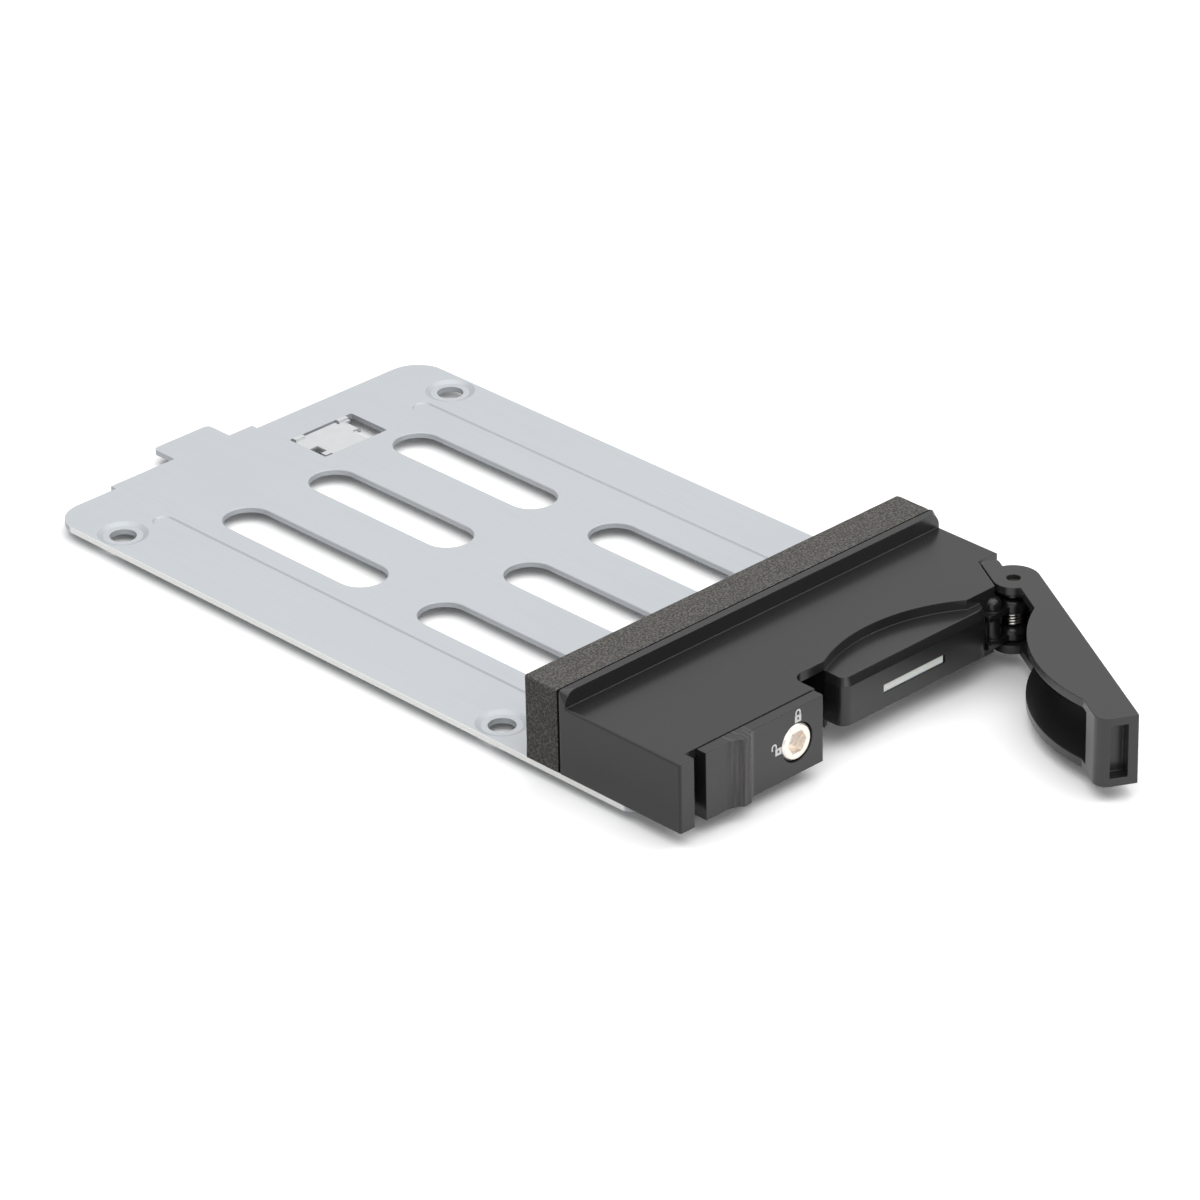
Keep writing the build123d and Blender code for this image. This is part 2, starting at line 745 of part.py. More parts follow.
def lock_washer():
    ring = lying(lock_x, lock_z, lock_washer_diameter / 2, (lock_wall_rear, cam_front))
    return ring - lying(lock_x, lock_z, lock_shank_diameter / 2 + lock_shank_fit, (lock_wall_rear, cam_front))


def lock_cam():
    y = (cam_front, cam_rear)
    cam = lying(lock_x, lock_z, lock_cam_hub_radius, y)
    cam_x = (lock_x - lock_cam_width / 2, lock_x + lock_cam_width / 2)
    cam += block(cam_x, y, (lock_z - lock_cam_reach, lock_z))
    hole = lying(lock_x, lock_z, lock_shank_diameter / 2 + lock_shank_fit, y)
    hole -= block((-big, big), y, (lock_z + lock_shank_diameter / 2 - lock_flat_inset + lock_shank_fit, big))
    return cam - hole


def lock_clip():
    y = (cam_rear, clip_rear)
    ring = lying(lock_x, lock_z, lock_clip_radius, y)
    ring -= lying(lock_x, lock_z, lock_shank_diameter / 2 - lock_groove_depth + lock_shank_fit, y)
    mouth = lock_shank_diameter - 2 * lock_groove_depth
    return ring - block((lock_x - mouth / 2, lock_x + mouth / 2), y, (lock_z - big, lock_z))


pieces = {
    "tray_plate": tray_plate,
    "ground_clip": ground_clip,
    "housing_screws": housing_screws,
    "front_housing": front_housing,
    "gasket_tape": gasket_tape,
    "foam_gasket": foam_gasket,
    "light_pipe": light_pipe,
    "hinge_pin": hinge_pin,
    "handle_spring": handle_spring,
    "ejector_handle": ejector_handle,
    "release_slider": release_slider,
    "slider_spring": slider_spring,
    "lock_screw": lock_screw,
    "lock_washer": lock_washer,
    "lock_cam": lock_cam,
    "lock_clip": lock_clip,
}
for name, make in pieces.items():
    export_step(make(), "parts/" + name + ".step")
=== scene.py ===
from math import cos, pi, radians, sin

import bmesh
import bpy
from mathutils import Matrix, Vector, noise


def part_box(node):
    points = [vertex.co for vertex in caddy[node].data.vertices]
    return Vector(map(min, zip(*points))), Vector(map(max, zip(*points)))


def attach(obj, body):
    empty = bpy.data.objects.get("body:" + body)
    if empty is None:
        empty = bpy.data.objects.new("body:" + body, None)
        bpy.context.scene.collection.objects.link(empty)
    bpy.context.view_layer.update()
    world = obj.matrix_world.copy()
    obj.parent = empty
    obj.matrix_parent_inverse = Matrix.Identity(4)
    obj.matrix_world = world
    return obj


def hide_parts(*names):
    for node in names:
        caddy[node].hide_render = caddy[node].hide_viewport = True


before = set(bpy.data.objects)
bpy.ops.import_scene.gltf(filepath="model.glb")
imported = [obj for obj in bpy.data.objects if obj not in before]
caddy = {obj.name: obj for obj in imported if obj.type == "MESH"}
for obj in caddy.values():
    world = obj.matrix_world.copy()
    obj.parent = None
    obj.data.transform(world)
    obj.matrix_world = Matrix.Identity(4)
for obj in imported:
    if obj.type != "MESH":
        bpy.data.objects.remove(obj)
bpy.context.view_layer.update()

# Tray plate: cold rolled steel strip, stamped, pressed and then zinc plated. Its flat face keeps
# the faint straight grain of the rolls; its slopes and cut walls get painted shade, darker than
# the flat face, and its two long sides get a painted pale highlight along the very edge.

MM = 0.001


def linear(code):
    """The linear colour of an sRGB hex value."""
    channels = [int(code[i : i + 2], 16) / 255 for i in (1, 3, 5)]
    return [c / 12.92 if c < 0.04045 else ((c + 0.055) / 1.055) ** 2.4 for c in channels] + [1.0]


def add(tree, kind, links=(), **settings):
    """Adds one node. Settings name a property or an input; links are (input, socket)."""
    item = tree.nodes.new(kind)
    for key, value in settings.items():
        if hasattr(item, key):
            setattr(item, key, value)
    for key, value in settings.items():
        if not hasattr(item, key):
            item.inputs[key.replace("_", " ")].default_value = value
    for key, socket in links:
        tree.links.new(socket, item.inputs[key])
    return item


def finish(name, build):
    """A material of that name, whose nodes build(tree, shader) lays out."""
    made = bpy.data.materials.new(name)
    made.use_nodes = True
    build(made.node_tree, made.node_tree.nodes["Principled BSDF"])
    return made


def finish_on(name, node_names, build):
    """Puts a new material on the named pieces."""
    made = finish(name, build)
    for node_name in node_names:
        surface = caddy[node_name].data
        surface.materials.clear()
        surface.materials.append(made)


def plated_strip(tree, shader):
    coords = add(tree, "ShaderNodeTexCoord")
    place = coords.outputs["Object"]
    # Roll grain: lines 0.25 mm apart across the tray and 12.5 mm long, coarser than
    # real ones so that they show
    grain_width = 0.25 * MM
    grain_length = 12.5 * MM
    stretch = (1 / grain_width, 1 / grain_length, 1 / grain_width)
    along = add(tree, "ShaderNodeMapping", [("Vector", place)], Scale=stretch)
    grain = add(tree, "ShaderNodeTexNoise", [("Vector", along.outputs[0])], Scale=1.0, Detail=3.0)
    rolled = add(tree, "ShaderNodeMix", [("Factor", grain.outputs["Fac"])], data_type="RGBA")
    rolled.inputs["A"].default_value = linear("#BDC1C5")
    rolled.inputs["B"].default_value = linear("#C4C8CC")
    # Painted shade: slopes and cut walls, told from the flat face by how far they face up, painted darker
    flat_upward = 0.99
    slope_upward = 0.93
    facing = add(tree, "ShaderNodeSeparateXYZ", [("Vector", coords.outputs["Normal"])])
    slope_shade_mask = add(tree, "ShaderNodeMapRange", [("Value", facing.outputs["Z"])])
    slope_shade_mask.inputs["From Min"].default_value = flat_upward
    slope_shade_mask.inputs["From Max"].default_value = slope_upward
    slope_shaded = add(tree, "ShaderNodeMix", [("Factor", slope_shade_mask.outputs[0])], data_type="RGBA")
    slope_shaded.inputs["B"].default_value = linear("#B6BABE")
    tree.links.new(rolled.outputs["Result"], slope_shaded.inputs["A"])
    # Painted highlight on the long sides: full within 0.02 mm of the edge, faded out by 0.12 mm
    half_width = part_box("tray_plate")[1][0]
    full_highlight_band = 0.02 * MM
    highlight_fade_band = 0.12 * MM
    parted = add(tree, "ShaderNodeSeparateXYZ", [("Vector", place)])
    aside = add(tree, "ShaderNodeMath", [(0, parted.outputs["X"])], operation="ABSOLUTE")
    edge_highlight_mask = add(tree, "ShaderNodeMapRange", [("Value", aside.outputs[0])])
    edge_highlight_mask.inputs["From Min"].default_value = half_width - highlight_fade_band
    edge_highlight_mask.inputs["From Max"].default_value = half_width - full_highlight_band
    edge_highlighted = add(tree, "ShaderNodeMix", [("Factor", edge_highlight_mask.outputs[0])], data_type="RGBA")
    edge_highlighted.inputs["B"].default_value = linear("#F6F6F4")
    tree.links.new(slope_shaded.outputs["Result"], edge_highlighted.inputs["A"])
    tree.links.new(edge_highlighted.outputs["Result"], shader.inputs["Base Color"])
    # Clouding of the plating: patches about 18 mm across
    cloud_size = 18 * MM
    cloud = add(tree, "ShaderNodeTexNoise", [("Vector", place)], Scale=1 / cloud_size, Detail=2.0)
    rough = add(tree, "ShaderNodeMapRange", [("Value", cloud.outputs["Fac"])], To_Min=0.46, To_Max=0.54)
    tree.links.new(rough.outputs[0], shader.inputs["Roughness"])
    # The burr of the cut is rounded, so each edge catches the light
    burr_radius = 0.06 * MM
    burr = add(tree, "ShaderNodeBevel", samples=6, Radius=burr_radius)
    bump = add(tree, "ShaderNodeBump", [("Height", grain.outputs["Fac"]), ("Normal", burr.outputs[0])])
    bump.inputs["Strength"].default_value = 0.04
    bump.inputs["Distance"].default_value = 0.02 * MM
    tree.links.new(bump.outputs[0], shader.inputs["Normal"])
    shader.inputs["Metallic"].default_value = 0.45


finish_on("zinc_plated_cold_rolled_steel", ["tray_plate"], plated_strip)

# Contact clip in the tray's window: thin spring steel strip, blanked, bent and nickel
# plated. It touches the drive's underside and earths it. Nickel is a little warmer and
# paler than the tray's zinc, and its shine is soft from the press tool's rubbing.


def nickel_strip(tree, shader):
    place = add(tree, "ShaderNodeTexCoord").outputs["Object"]
    # Rub marks 1.5 mm across
    rub_size = 1.5 * MM
    rub = add(tree, "ShaderNodeTexNoise", [("Vector", place)], Scale=1 / rub_size, Detail=2.0)
    tone = add(tree, "ShaderNodeMix", [("Factor", rub.outputs["Fac"])], data_type="RGBA")
    tone.inputs["A"].default_value = linear("#CBCDCE")
    tone.inputs["B"].default_value = linear("#D3D5D6")
    tree.links.new(tone.outputs["Result"], shader.inputs["Base Color"])
    rough = add(tree, "ShaderNodeMapRange", [("Value", rub.outputs["Fac"])], To_Min=0.4, To_Max=0.52)
    tree.links.new(rough.outputs[0], shader.inputs["Roughness"])
    bump = add(tree, "ShaderNodeBump", [("Height", rub.outputs["Fac"])], Strength=0.05, Distance=0.05 * MM)
    tree.links.new(bump.outputs[0], shader.inputs["Normal"])
    shader.inputs["Metallic"].default_value = 0.5


finish_on("nickel_plated_spring_strip", ["ground_clip"], nickel_strip)

# Housing, slider and handle: black glass-filled nylon, moulded in spark eroded tools.
# That leaves a very fine even grain, under which the upward faces still mirror what
# stands at a low angle. Edges are slightly rounded, so they show as paler lines.


def moulded_nylon(tree, shader, dark="#1D1D1E", pale="#212122"):
    place = add(tree, "ShaderNodeTexCoord").outputs["Object"]
    # Flow of the melt: broad and faint, 25 mm across
    flow_size = 25 * MM
    flow = add(tree, "ShaderNodeTexNoise", [("Vector", place)], Scale=1 / flow_size, Detail=1.0)
    tone = add(tree, "ShaderNodeMix", [("Factor", flow.outputs["Fac"])], data_type="RGBA")
    tone.inputs["A"].default_value = linear(dark)
    tone.inputs["B"].default_value = linear(pale)
    tree.links.new(tone.outputs["Result"], shader.inputs["Base Color"])
    rough = add(tree, "ShaderNodeMapRange", [("Value", flow.outputs["Fac"])], To_Min=0.22, To_Max=0.28)
    tree.links.new(rough.outputs[0], shader.inputs["Roughness"])
    # Spark grain: pits about 0.12 mm across, coarser than real ones so that they show
    pit_size = 0.12 * MM
    pits = add(tree, "ShaderNodeTexNoise", [("Vector", place)], Scale=1 / pit_size, Detail=2.0)
    edge_radius = 0.2 * MM
    edge = add(tree, "ShaderNodeBevel", samples=6, Radius=edge_radius)
    bump = add(tree, "ShaderNodeBump", [("Height", pits.outputs["Fac"]), ("Normal", edge.outputs[0])])
    bump.inputs["Strength"].default_value = 0.05
    bump.inputs["Distance"].default_value = 0.02 * MM
    tree.links.new(bump.outputs[0], shader.inputs["Normal"])
    shader.inputs["IOR"].default_value = 1.53


def lever_nylon(tree, shader):
    """The handle comes from a second batch, a touch paler."""
    moulded_nylon(tree, shader, "#272728", "#2B2B2C")


def ridge_highlighted_nylon(tree, shader):
    """Black nylon with pale upright streaks painted on the slider's ridge, as painted highlights."""
    moulded_nylon(tree, shader)
    place = add(tree, "ShaderNodeTexCoord").outputs["Object"]
    # Painted highlight streaks 0.35 mm apart and 6 mm tall, each 3.3 mm from front to back
    highlight_streak_width = 0.35 * MM
    highlight_streak_depth = 3.3333 * MM
    highlight_streak_height = 6 * MM
    stretch = (1 / highlight_streak_width, 1 / highlight_streak_depth, 1 / highlight_streak_height)
    upright = add(tree, "ShaderNodeMapping", [("Vector", place)], Scale=stretch)
    highlight_streaks = add(tree, "ShaderNodeTexNoise", [("Vector", upright.outputs[0])], Scale=1.0, Detail=2.0)
    sharp = add(tree, "ShaderNodeMapRange", [("Value", highlight_streaks.outputs["Fac"])])
    sharp.inputs["From Min"].default_value = 0.42
    sharp.inputs["From Max"].default_value = 0.66
    # The painted highlights lie on the ridge alone and fade out on both sides of it
    ridge_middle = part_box("release_slider")[0][0] + 6.1 * MM
    highlighted_half = 1.8 * MM
    faded_half = 2.6 * MM
    parted = add(tree, "ShaderNodeSeparateXYZ", [("Vector", place)])
    aside = add(tree, "ShaderNodeMath", [(0, parted.outputs["X"])], operation="SUBTRACT")
    aside.inputs[1].default_value = ridge_middle
    apart = add(tree, "ShaderNodeMath", [(0, aside.outputs[0])], operation="ABSOLUTE")
    on_ridge = add(tree, "ShaderNodeMapRange", [("Value", apart.outputs[0])])
    on_ridge.inputs["From Min"].default_value = faded_half
    on_ridge.inputs["From Max"].default_value = highlighted_half
    highlight_share = add(tree, "ShaderNodeMath", [(0, sharp.outputs[0])], operation="MULTIPLY")
    tree.links.new(on_ridge.outputs[0], highlight_share.inputs[1])
    # Painted highlight: pale streaks mixed into the ridge's base colour
    tone = add(tree, "ShaderNodeMix", [("Factor", highlight_share.outputs[0])], data_type="RGBA")
    tone.inputs["A"].default_value = linear("#232222")
    tone.inputs["B"].default_value = linear("#444040")
    tree.links.new(tone.outputs["Result"], shader.inputs["Base Color"])


finish_on("spark_grained_black_nylon", ["front_housing"], moulded_nylon)
finish_on("black_nylon_with_painted_ridge_highlights", ["release_slider"], ridge_highlighted_nylon)
finish_on("spark_grained_charcoal_nylon", ["ejector_handle"], lever_nylon)

# Foam gasket: a strip of open cell polyurethane, cut from a sheet, that closes the
# slit round the caddy. Its cells are about 0.3 mm, so every face is fine and grainy,
# and its cut edges are a little soft. It gives way, so it is built here as foam.


def foam_outline(half_width, height):
    """The strip's end: up the right side, over the top, down the left and back along the base."""
    side_cells = 6
    corner_cells = 4
    long_cells = 130
    corner_radius = 0.35 * MM
    straight = height - corner_radius
    inner = half_width - corner_radius
    right = [(half_width, straight * k / side_cells) for k in range(side_cells)]
    for k in range(corner_cells + 1):
        turn = radians(90) * k / corner_cells
        right.append((inner + corner_radius * cos(turn), straight + corner_radius * sin(turn)))
    left = [(-x, z) for x, z in reversed(right)]
    top_end = right[-1][0]
    top = [(top_end - 2 * top_end * k / long_cells, height) for k in range(1, long_cells)]
    base = [(-half_width + 2 * half_width * k / long_cells, 0.0) for k in range(1, long_cells)]
    return right + top + left + base


def soften(vert, low, high, half_width):
    """Sinks a point of the top or a side in a slow wave, and deeper along the cut edges."""
    firm_height = 1 * MM
    skin = 0.5 * MM
    wave_size = 2.2 * MM
    wave_depth = 0.04 * MM
    edge_width = 0.3 * MM
    edge_depth = 0.06 * MM
    if vert.co.z <= low.z + firm_height:
        return
    wave = noise.noise(vert.co / wave_size) * 0.5 + 0.5
    from_edge = min(vert.co.y - low.y, high.y - vert.co.y)
    sink = wave_depth * wave + (edge_depth if from_edge < edge_width else 0.0)
    inward = Vector((0, 0, 0))
    if abs(vert.co.x) > half_width - skin:
        inward.x = -1 if vert.co.x > 0 else 1
    if vert.co.z > high.z - skin:
        inward.z = -1
    vert.co += inward * sink


def settle(name, mesh):
    """Makes an object of that name from finished mesh data and puts it in the scene."""
    data = bpy.data.meshes.new(name)
    mesh.to_mesh(data)
    mesh.free()
    piece = bpy.data.objects.new(name, data)
    bpy.context.scene.collection.objects.link(piece)
    return piece


def foam_strip():
    """Rings of the end's outline, one behind the other, closed by a face at each end."""
    low, high = (Vector(corner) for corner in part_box("foam_gasket"))
    inset = 0.02 * MM
    depth_cells = 10
    middle_x = (low.x + high.x) / 2
    half_width = (high.x - low.x) / 2 - inset
    depth = high.y - low.y - 2 * inset
    outline = foam_outline(half_width, high.z - low.z - inset)
    mesh = bmesh.new()
    rings = []
    for j in range(depth_cells + 1):
        y = low.y + inset + depth * j / depth_cells
        rings.append([mesh.verts.new((x + middle_x, y, low.z + z)) for x, z in outline])
    for near, far in zip(rings, rings[1:]):
        for i in range(len(outline)):
            k = (i + 1) % len(outline)
            mesh.faces.new((near[i], near[k], far[k], far[i]))
    mesh.faces.new(rings[0])
    mesh.faces.new(list(reversed(rings[-1])))
    bmesh.ops.recalc_face_normals(mesh, faces=mesh.faces)
    for vert in mesh.verts:
        soften(vert, low, high, half_width)
    return settle("foam_strip", mesh)


def open_cell_foam(tree, shader):
    place = add(tree, "ShaderNodeTexCoord").outputs["Object"]
    # Cells 0.3 mm across, with a finer net of broken walls in them
    cell_size = 0.3 * MM
    wall_size = 0.25 * MM
    cells = add(tree, "ShaderNodeTexVoronoi", [("Vector", place)], Scale=1 / cell_size)
    walls = add(tree, "ShaderNodeTexNoise", [("Vector", place)], Scale=1 / wall_size, Detail=3.0)
    both = add(tree, "ShaderNodeMath", [(0, cells.outputs["Distance"])], operation="MULTIPLY")
    tree.links.new(walls.outputs["Fac"], both.inputs[1])
    span = add(tree, "ShaderNodeMapRange", [("Value", both.outputs[0])], From_Min=0.1, From_Max=0.42)
    tone = add(tree, "ShaderNodeMix", [("Factor", span.outputs[0])], data_type="RGBA")
    tone.inputs["A"].default_value = linear("#403E3D")
    tone.inputs["B"].default_value = linear("#6C6A67")
    tree.links.new(tone.outputs["Result"], shader.inputs["Base Color"])
    bump = add(tree, "ShaderNodeBump", [("Height", both.outputs[0])], Strength=0.3, Distance=0.1 * MM)
    tree.links.new(bump.outputs[0], shader.inputs["Normal"])
    shader.inputs["Roughness"].default_value = 0.95
    shader.inputs["Specular IOR Level"].default_value = 0.2


foam = foam_strip()
foam.data.materials.append(finish("open_cell_polyurethane_foam", open_cell_foam))
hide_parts("foam_gasket")
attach(foam, "frame")

# Adhesive film between foam and flange: black acrylic tape, 0.5 mm with its liner.
# It is cut a little smaller than both, so it shows as a thin line that no light reaches.


def acrylic_film(tree, shader):
    place = add(tree, "ShaderNodeTexCoord").outputs["Object"]
    # Dust on its sticky edge, in specks of 0.3 mm
    speck_size = 0.3 * MM
    dust = add(tree, "ShaderNodeTexNoise", [("Vector", place)], Scale=1 / speck_size, Detail=2.0)
    tone = add(tree, "ShaderNodeMix", [("Factor", dust.outputs["Fac"])], data_type="RGBA")
    tone.inputs["A"].default_value = linear("#060606")
    tone.inputs["B"].default_value = linear("#0A0A0A")
    tree.links.new(tone.outputs["Result"], shader.inputs["Base Color"])
    rough = add(tree, "ShaderNodeMapRange", [("Value", dust.outputs["Fac"])], To_Min=0.7, To_Max=0.9)
    tree.links.new(rough.outputs[0], shader.inputs["Roughness"])
    shader.inputs["Specular IOR Level"].default_value = 0.05


finish_on("black_acrylic_tape", ["gasket_tape"], acrylic_film)

# Light pipe: a bar of milky polycarbonate, moulded and pushed into the housing's slot,
# that carries the drive's activity light to the front. Unlit, it looks like frosted glass.


def frosted_polycarbonate(tree, shader):
    place = add(tree, "ShaderNodeTexCoord").outputs["Object"]
    # Haze in the plastic, 1.2 mm across
    haze_size = 1.2 * MM
    haze = add(tree, "ShaderNodeTexNoise", [("Vector", place)], Scale=1 / haze_size, Detail=2.0)
    tone = add(tree, "ShaderNodeMix", [("Factor", haze.outputs["Fac"])], data_type="RGBA")
    tone.inputs["A"].default_value = linear("#F2F2EE")
    tone.inputs["B"].default_value = linear("#FAFAF6")
    tree.links.new(tone.outputs["Result"], shader.inputs["Base Color"])
    shader.inputs["Roughness"].default_value = 0.35
    shader.inputs["IOR"].default_value = 1.585
    shader.inputs["Subsurface Weight"].default_value = 0.3
    shader.inputs["Subsurface Scale"].default_value = 0.5 * MM


finish_on("frosted_polycarbonate", ["light_pipe"], frosted_polycarbonate)

# Pin, springs and screws: drawn or turned steel. The springs are bright drawn wire,
# the pin is ground and oiled dark, and the housing screws are zinc plated.


def turned_steel(tree, shader, dark="#B3B0AA", pale="#BFBCB6", smooth=0.22, coarse=0.36):
    place = add(tree, "ShaderNodeTexCoord").outputs["Object"]
    # Tool and die marks 0.4 mm apart, coarser than real ones so that they show
    mark_size = 0.4 * MM
    marks = add(tree, "ShaderNodeTexNoise", [("Vector", place)], Scale=1 / mark_size, Detail=4.0)
    tone = add(tree, "ShaderNodeMix", [("Factor", marks.outputs["Fac"])], data_type="RGBA")
    tone.inputs["A"].default_value = linear(dark)
    tone.inputs["B"].default_value = linear(pale)
    tree.links.new(tone.outputs["Result"], shader.inputs["Base Color"])
    rough = add(tree, "ShaderNodeMapRange", [("Value", marks.outputs["Fac"])], To_Min=smooth, To_Max=coarse)
    tree.links.new(rough.outputs[0], shader.inputs["Roughness"])
    bump = add(tree, "ShaderNodeBump", [("Height", marks.outputs["Fac"])], Strength=0.1, Distance=0.04 * MM)
    tree.links.new(bump.outputs[0], shader.inputs["Normal"])
    shader.inputs["Metallic"].default_value = 1.0


def oiled_pin(tree, shader):
    turned_steel(tree, shader, "#514F4B", "#595753", smooth=0.3, coarse=0.45)


def drawn_wire(tree, shader):
    turned_steel(tree, shader, "#D3D1CB", "#DDDBD5", smooth=0.14, coarse=0.24)


finish_on("zinc_plated_screw_steel", ["housing_screws"], turned_steel)
finish_on("oiled_ground_steel", ["hinge_pin"], oiled_pin)
finish_on("bright_drawn_spring_wire", ["handle_spring", "slider_spring", "lock_clip"], drawn_wire)

# Lock screw with its washer and cam: stainless steel, with the face cut on a lathe.
# The fine rings of that cut make it look silky and slightly warm beside the black front.


def lathe_faced(tree, shader):
    place = add(tree, "ShaderNodeTexCoord").outputs["Object"]
    # Rings of the facing cut round the screw's axis, coarser than real ones so that they show
    ring_spacing = 0.754 * MM
    # The wave texture itself runs 20 radians for each unit of place
    wave_radians = 20
    low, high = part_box("lock_screw")
    to_middle = [-(a + b) / 2 for a, b in zip(low, high)]
    centred = add(tree, "ShaderNodeMapping", [("Vector", place)], Location=to_middle)
    rings = add(tree, "ShaderNodeTexWave", [("Vector", centred.outputs[0])], wave_type="RINGS")
    rings.rings_direction = "Y"
    rings.inputs["Scale"].default_value = 2 * pi / ring_spacing / wave_radians
    rings.inputs["Distortion"].default_value = 1.0
    tone = add(tree, "ShaderNodeMix", [("Factor", rings.outputs["Fac"])], data_type="RGBA")
    tone.inputs["A"].default_value = linear("#F1E8DF")
    tone.inputs["B"].default_value = linear("#FBF4ED")
    tree.links.new(tone.outputs["Result"], shader.inputs["Base Color"])
    rough = add(tree, "ShaderNodeMapRange", [("Value", rings.outputs["Fac"])], To_Min=0.18, To_Max=0.34)
    tree.links.new(rough.outputs[0], shader.inputs["Roughness"])
    bump = add(tree, "ShaderNodeBump", [("Height", rings.outputs["Fac"])], Strength=0.08, Distance=0.03 * MM)
    tree.links.new(bump.outputs[0], shader.inputs["Normal"])
    shader.inputs["Metallic"].default_value = 0.8


finish_on("lathe_faced_stainless_steel", ["lock_screw", "lock_washer", "lock_cam"], lathe_faced)

# Padlock marks beside the lock: pad printed in white ink on the slider's face, a
# closed one above for locked, and one with its shackle swung open at the left.

lock_low, lock_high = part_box("lock_screw")
lock_x = (lock_low[0] + lock_high[0]) / 2
lock_z = (lock_low[2] + lock_high[2]) / 2
slider_face = lock_low[1]
ink_proud = 0.015 * MM
mark_distance = 3.42 * MM
closed_mark_aside = 0.18 * MM


def band(points, width):
    """A flat ribbon of the given width along points, as a list of quads."""
    sides = []
    for i, point in enumerate(points):
        before = points[max(i - 1, 0)]
        after = points[min(i + 1, len(points) - 1)]
        run = (Vector(after) - Vector(before)).normalized()
        side = Vector((-run.y, run.x)) * width / 2
        sides.append((Vector(point) + side, Vector(point) - side))
    return [(a[0], a[1], b[1], b[0]) for a, b in zip(sides, sides[1:])]


def panel(x, z):
    """A flat rectangle over the spans x and z."""
    return [Vector(p) for p in ((x[0], z[0]), (x[1], z[0]), (x[1], z[1]), (x[0], z[1]))]


def padlock_body(half_wide, half_tall):
    """Four panels round a keyhole window."""
    hole_wide = 0.15 * MM
    hole_tall = 0.19 * MM
    return [
        panel((-half_wide, half_wide), (-half_tall, -hole_tall)),
        panel((-half_wide, half_wide), (hole_tall, half_tall)),
        panel((-half_wide, -hole_wide), (-hole_tall, hole_tall)),
        panel((hole_wide, half_wide), (-hole_tall, hole_tall)),
    ]


def shackle(body_top, swung):
    """A half round bow with two legs, over the body or swung to its left, one leg free."""
    line_width = 0.25 * MM
    bow_radius = 0.36 * MM
    bow_x = -0.76 * MM if swung else 0.0
    bow_z = 0.88 * MM
    bow_steps = 12
    sunk = 0.05 * MM
    free_end = 0.42 * MM
    foot = body_top - sunk
    bow = []
    for k in range(bow_steps + 1):
        turn = pi * k / bow_steps
        bow.append((bow_x + bow_radius * cos(turn), bow_z + bow_radius * sin(turn)))
    right_leg = (bow_x + bow_radius, foot)
    left_leg = (bow_x - bow_radius, free_end if swung else foot)
    return band([right_leg] + bow + [left_leg], line_width)


def padlock_mark(name, x, z, swung):
    """The printed sign round (x, z), a hair in front of the slider's face."""
    half_wide = 0.57 * MM
    half_tall = 0.51 * MM
    weld = 0.001 * MM
    mesh = bmesh.new()
    for quad in padlock_body(half_wide, half_tall) + shackle(half_tall, swung):
        mesh.faces.new([mesh.verts.new((x + p.x, slider_face - ink_proud, z + p.y)) for p in quad])
    bmesh.ops.remove_doubles(mesh, verts=mesh.verts, dist=weld)
    for face in mesh.faces:
        face.normal_update()
        if face.normal.y > 0:
            face.normal_flip()
    return settle(name, mesh)


def pad_print_ink(tree, shader):
    place = add(tree, "ShaderNodeTexCoord").outputs["Object"]
    # Thinner and thicker ink, in spots of 0.15 mm
    spot_size = 0.15 * MM
    spots = add(tree, "ShaderNodeTexNoise", [("Vector", place)], Scale=1 / spot_size, Detail=2.0)
    tone = add(tree, "ShaderNodeMix", [("Factor", spots.outputs["Fac"])], data_type="RGBA")
    tone.inputs["A"].default_value = linear("#E8E8E8")
    tone.inputs["B"].default_value = linear("#F6F6F6")
    tree.links.new(tone.outputs["Result"], shader.inputs["Base Color"])
    shader.inputs["Roughness"].default_value = 0.55


ink = finish("white_pad_printing_ink", pad_print_ink)
marks = (
    padlock_mark("padlock_closed_mark", lock_x + closed_mark_aside, lock_z + mark_distance, False),
    padlock_mark("padlock_open_mark", lock_x - mark_distance, lock_z, True),
)
for mark in marks:
    mark.data.materials.append(ink)
    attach(mark, "slider")

# Floor and studio: a white paper sweep that the caddy lies on, under a broad overhead
# box, with a front box and a small one at the right. The paper is a little over white
# to the eye and dim to the light it throws back, so its shadows stay and blacks stay black.


def seen_ray(tree):
    """1 for the rays that show a thing: straight from the lens, mirrored or through glass."""
    path = add(tree, "ShaderNodeLightPath")
    either = add(tree, "ShaderNodeMath", [(0, path.outputs["Is Camera Ray"])], operation="MAXIMUM")
    tree.links.new(path.outputs["Is Glossy Ray"], either.inputs[1])
    seen = add(tree, "ShaderNodeMath", [(0, either.outputs[0])], operation="MAXIMUM")
    tree.links.new(path.outputs["Is Transmission Ray"], seen.inputs[1])
    return seen.outputs[0]


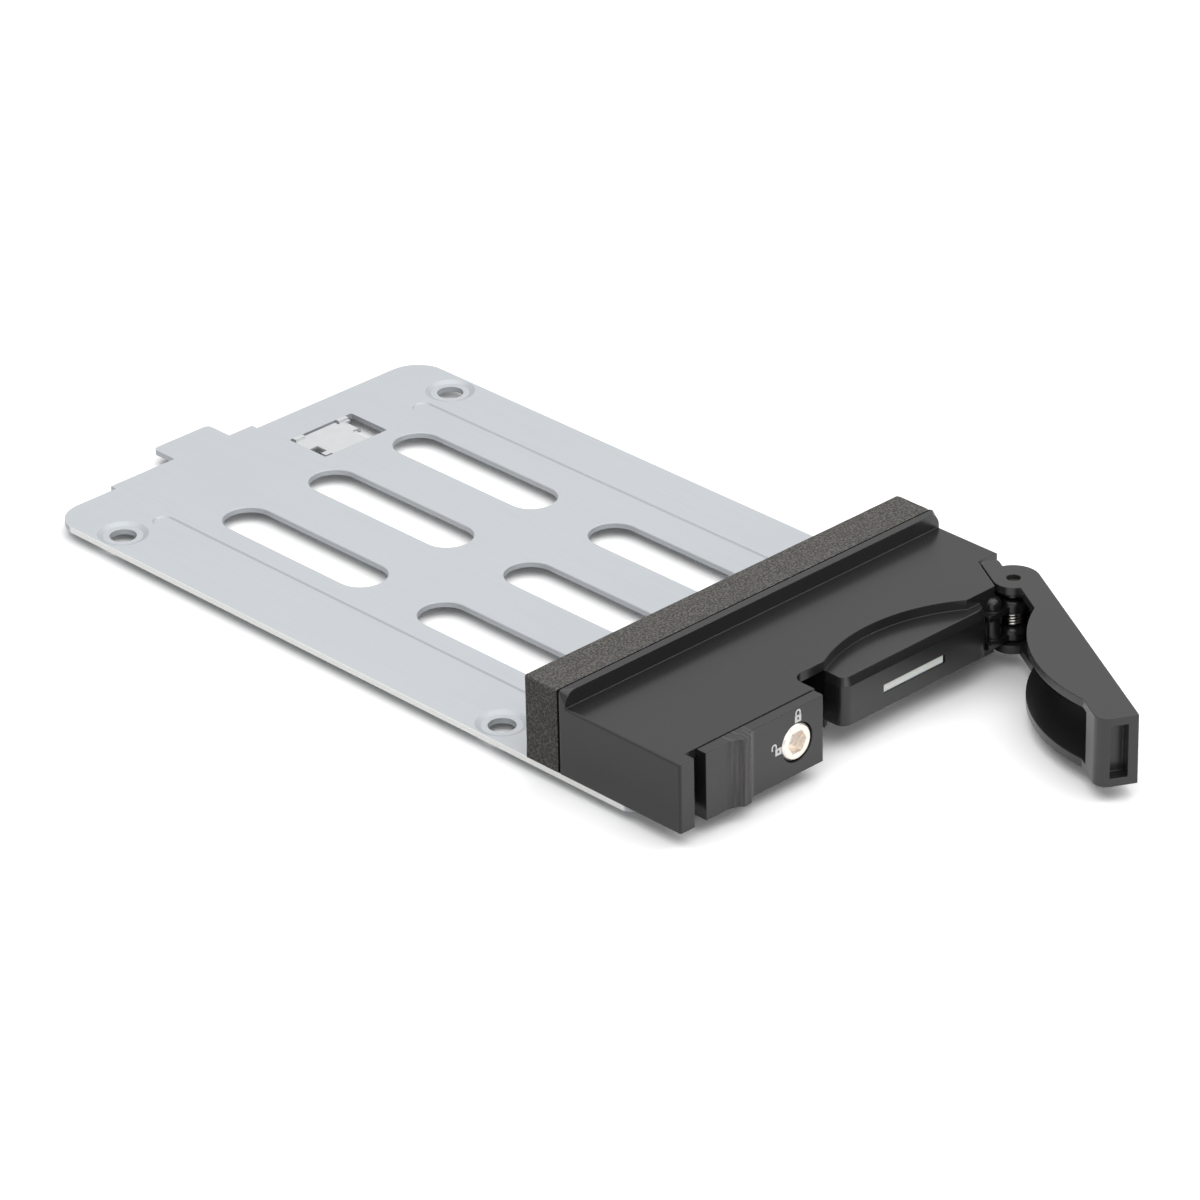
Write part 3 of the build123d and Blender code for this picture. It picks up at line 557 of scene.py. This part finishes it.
def paper_sweep(tree, shader):
    seen_white = 1.15
    thrown_white = 0.35
    seen_glow = 0.02
    # Painted shade in reflections: seen mirrored, the paper is painted dimmer left of the end wall
    dim_white = 0.8
    dim_from = -35 * MM
    dim_full = -40 * MM
    place = add(tree, "ShaderNodeTexCoord").outputs["Object"]
    parted = add(tree, "ShaderNodeSeparateXYZ", [("Vector", place)])
    painted_reflection_shade = add(tree, "ShaderNodeMapRange", [("Value", parted.outputs["X"])])
    painted_reflection_shade.inputs["From Min"].default_value = dim_full
    painted_reflection_shade.inputs["From Max"].default_value = dim_from
    painted_reflection_shade.inputs["To Min"].default_value = dim_white
    painted_reflection_shade.inputs["To Max"].default_value = seen_white
    glossy = add(tree, "ShaderNodeLightPath").outputs["Is Glossy Ray"]
    white = add(tree, "ShaderNodeMix", [("Factor", glossy)], data_type="RGBA")
    white.inputs["A"].default_value = (seen_white, seen_white, seen_white, 1)
    tree.links.new(painted_reflection_shade.outputs[0], white.inputs["B"])
    seen = seen_ray(tree)
    shade = add(tree, "ShaderNodeMix", [("Factor", seen)], data_type="RGBA")
    shade.inputs["A"].default_value = (thrown_white, thrown_white, thrown_white, 1)
    tree.links.new(white.outputs["Result"], shade.inputs["B"])
    tree.links.new(shade.outputs["Result"], shader.inputs["Base Color"])
    glow = add(tree, "ShaderNodeMapRange", [("Value", seen)], To_Max=seen_glow)
    tree.links.new(glow.outputs[0], shader.inputs["Emission Strength"])
    shader.inputs["Emission Color"].default_value = (1, 1, 1, 1)
    shader.inputs["Roughness"].default_value = 0.9
    shader.inputs["Specular IOR Level"].default_value = 0.0


def soft_box(name, place, aim, size, watts):
    """A square or oblong lamp at one place, turned to another."""
    lamp = bpy.data.lights.new(name, "AREA")
    lamp.shape = "RECTANGLE"
    lamp.size, lamp.size_y = size
    lamp.energy = watts
    stand = bpy.data.objects.new(name, lamp)
    stand.location = place
    stand.rotation_euler = (Vector(aim) - Vector(place)).to_track_quat("-Z", "Y").to_euler()
    bpy.context.scene.collection.objects.link(stand)


floor_half = 6.0
floor_drop = 1.1 * MM
floor_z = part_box("tray_plate")[0][2] - floor_drop
corners = [(x * floor_half, y * floor_half, floor_z) for x, y in ((-1, -1), (1, -1), (1, 1), (-1, 1))]
floor_mesh = bpy.data.meshes.new("floor")
floor_mesh.from_pydata(corners, [], [(0, 1, 2, 3)])
floor_mesh.materials.append(finish("white_paper_sweep", paper_sweep))
floor = bpy.data.objects.new("floor", floor_mesh)
bpy.context.scene.collection.objects.link(floor)

soft_box("overhead_box", place=(0, -0.1, 1.0), aim=(0, 0, 0), size=(1.7, 1.7), watts=12.8)
soft_box("front_box", place=(-0.25, -1.2, 0.4), aim=(0, -0.07, 0), size=(1.0, 0.6), watts=2.7)
soft_box("right_edge_box", place=(0.788, -0.616, 0.831), aim=(0, -0.05, 0), size=(0.3, 0.3), watts=1.2)

lit_level = 0.42
seen_level = 0.84
world = bpy.data.worlds.new("studio_air")
world.use_nodes = True
air = world.node_tree
sky = air.nodes["Background"]
sky.inputs["Color"].default_value = (1, 1, 1, 1)
strength = add(air, "ShaderNodeMapRange", [("Value", seen_ray(air))], To_Min=lit_level, To_Max=seen_level)
air.links.new(strength.outputs[0], sky.inputs["Strength"])
bpy.context.scene.world = world
bpy.context.scene.view_settings.view_transform = "Standard"

# Camera: a long lens at the photograph's place. Its place, aim and length were solved
# from the tray's straight edges and the four drive holes.

camera_place = Vector((-495.34, -547.37, 389.84)) * MM
look = Vector((0.60578, 0.63908, -0.47394)).normalized()
upward = Vector((0.3414, 0.3293, 0.8804))
upward = (upward - look * upward.dot(look)).normalized()
sideways = look.cross(upward)
camera = bpy.data.cameras.new("camera")
camera.sensor_width = 36
camera.lens = 182.05
camera.clip_start = 0.05
camera.clip_end = 20
tripod = bpy.data.objects.new("camera", camera)
tripod.matrix_world = Matrix((sideways, upward, -look)).transposed().to_4x4()
tripod.matrix_world.translation = camera_place
bpy.context.scene.collection.objects.link(tripod)
bpy.context.scene.camera = tripod
